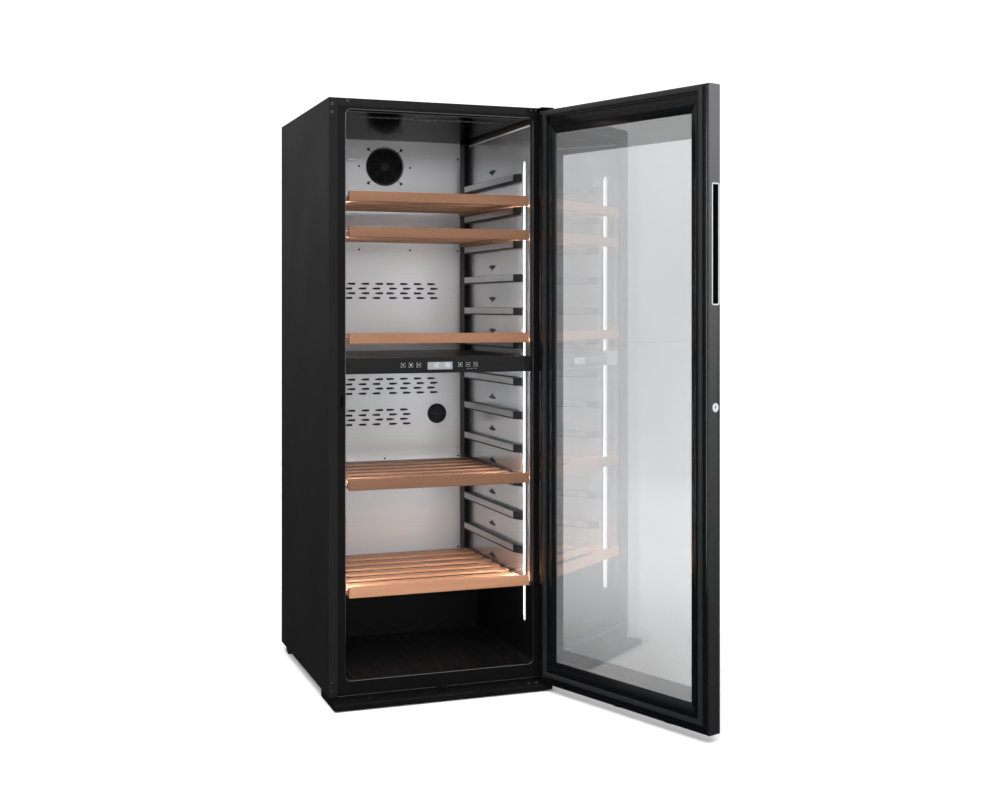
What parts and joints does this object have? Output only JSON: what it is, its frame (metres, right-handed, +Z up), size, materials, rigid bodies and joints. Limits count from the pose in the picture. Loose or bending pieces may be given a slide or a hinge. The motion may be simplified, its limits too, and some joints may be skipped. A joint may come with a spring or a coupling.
{
  "type": "wine cooler",
  "caption": "Tall free-standing wine cooler with a hinged tinted glass door, sliding slatted beech shelves, a steel-lined cavity, side light strips and a central touch control bar.",
  "frame": {"origin": "on the floor: x = 0 at the cabinet's centre width, y = 0 at the plane of the cabinet's front face, z = 0 on the floor", "axes": "+X to the right seen from the front, +Y from the front to the back, +Z up"},
  "size_m": [0.9076, 1.3756, 1.76],
  "materials": {
    "satin_black_paint": "satin",
    "black_plastic": "matte",
    "gloss_black": "gloss",
    "brushed_steel": "brushed",
    "galvanised": "galvanised",
    "fin_aluminium": "matte",
    "grey_aluminium": "satin",
    "chrome": "polished",
    "beech": "smooth sanded",
    "foam": "closed-cell foam",
    "rubber": "matte",
    "led_diffuser": "frosted, lit",
    "circuit_board": "matte",
    "tinted_glass": "tinted, polished",
    "display_glass": "polished"
  },
  "bodies": {
    "cabinet": {"back_sheet_lower": "brushed_steel", "back_sheet_upper": "brushed_steel", "base_plate": "satin_black_paint", "bottom_hinge_pin": "galvanised", "bottom_pan": "galvanised", "castor_bracket_left": "galvanised", "castor_bracket_right": "galvanised", "ceiling_sheet": "brushed_steel", "compressor": "satin_black_paint", "condenser_coil": "satin_black_paint", "control_bar": "gloss_black", "control_board": "circuit_board", "control_box": "black_plastic", "display_window": "display_glass", "door_sensor": "black_plastic", "drip_tray": "black_plastic", "evaporator": "fin_aluminium", "fan_frame": "black_plastic", "fan_guard": "satin_black_paint", "foam_insulation": "foam", "led_strip_left": "led_diffuser", "led_strip_right": "led_diffuser", "liner_tub": "black_plastic", "machine_cover": "galvanised", "power_inlet": "black_plastic", "rear_panel": "galvanised", "shelf_rack_left": "black_plastic", "shelf_rack_right": "black_plastic", "side_panel_left": "satin_black_paint", "side_panel_right": "satin_black_paint", "side_sheet_left": "brushed_steel", "side_sheet_right": "brushed_steel", "strike_plate": "black_plastic", "top_hinge_bracket": "satin_black_paint", "top_panel": "satin_black_paint", "zone_partition": "black_plastic"},
    "door": {"outer_glass": "tinted_glass", "inner_glass": "tinted_glass", "door_rail_top": "black_plastic", "door_rail_bottom": "black_plastic", "door_stile_hinge": "black_plastic", "door_stile_handle": "black_plastic", "door_gasket": "rubber", "door_edge_profile": "grey_aluminium", "handle_surround": "chrome", "top_hinge_bush": "rubber", "bottom_hinge_bush": "rubber"},
    "lock_core": {"lock_barrel": "chrome", "lock_cam": "galvanised"},
    "shelf_1": {"shelf_1": "beech"},
    "shelf_2": {"shelf_2": "beech"},
    "shelf_3": {"shelf_3": "beech"},
    "shelf_4": {"shelf_4": "beech"},
    "shelf_5": {"shelf_5": "beech"},
    "fan_rotor": {"fan_rotor": "black_plastic"},
    "charcoal_filter": {"charcoal_filter": "black_plastic"},
    "castor_wheel_left": {"castor_wheel_left": "rubber"},
    "levelling_foot_left": {"levelling_foot_left": "rubber"},
    "castor_wheel_right": {"castor_wheel_right": "rubber"},
    "levelling_foot_right": {"levelling_foot_right": "rubber"}
  },
  "joints": [
    {"name": "door_hinge", "type": "hinge", "parent": "cabinet", "child": "door", "pos_m": [0.327, -0.031, 0.9], "axis": [0, 0, 1], "range_deg": [-109.5, 10.5]},
    {"name": "lock_turn", "type": "hinge", "parent": "door", "child": "lock_core", "pos_m": [0.54392, -0.64056, 0.889], "axis": [-0.3338, 0.9426, 0], "range_deg": [0, 90]},
    {"name": "shelf_1_slide", "type": "slide", "parent": "cabinet", "child": "shelf_1", "axis": [0, -1, 0], "range_m": [0, 0.35]},
    {"name": "shelf_2_slide", "type": "slide", "parent": "cabinet", "child": "shelf_2", "axis": [0, -1, 0], "range_m": [0, 0.35]},
    {"name": "shelf_3_slide", "type": "slide", "parent": "cabinet", "child": "shelf_3", "axis": [0, -1, 0], "range_m": [0, 0.35]},
    {"name": "shelf_4_slide", "type": "slide", "parent": "cabinet", "child": "shelf_4", "axis": [0, -1, 0], "range_m": [0, 0.35]},
    {"name": "shelf_5_slide", "type": "slide", "parent": "cabinet", "child": "shelf_5", "axis": [0, -1, 0], "range_m": [0, 0.35]},
    {"name": "fan_spin", "type": "hinge", "parent": "cabinet", "child": "fan_rotor", "pos_m": [0, 0.6485, 1.633], "axis": [0, 1, 0], "continuous": true},
    {"name": "filter_turn", "type": "hinge", "parent": "cabinet", "child": "charcoal_filter", "pos_m": [0.185, 0.64, 0.789], "axis": [0, 1, 0], "range_deg": [0, 90]},
    {"name": "castor_left_roll", "type": "hinge", "parent": "cabinet", "child": "castor_wheel_left", "pos_m": [-0.323, 0.655, 0.0135], "axis": [1, 0, 0], "continuous": true},
    {"name": "castor_right_roll", "type": "hinge", "parent": "cabinet", "child": "castor_wheel_right", "pos_m": [0.323, 0.655, 0.0135], "axis": [1, 0, 0], "continuous": true},
    {"name": "foot_left_turn", "type": "hinge", "parent": "cabinet", "child": "levelling_foot_left", "pos_m": [-0.221, -0.01, 0.01], "axis": [0, 0, 1], "range_deg": [-180, 180]},
    {"name": "foot_right_turn", "type": "hinge", "parent": "cabinet", "child": "levelling_foot_right", "pos_m": [0.221, -0.01, 0.01], "axis": [0, 0, 1], "range_deg": [-180, 180]}
  ]
}
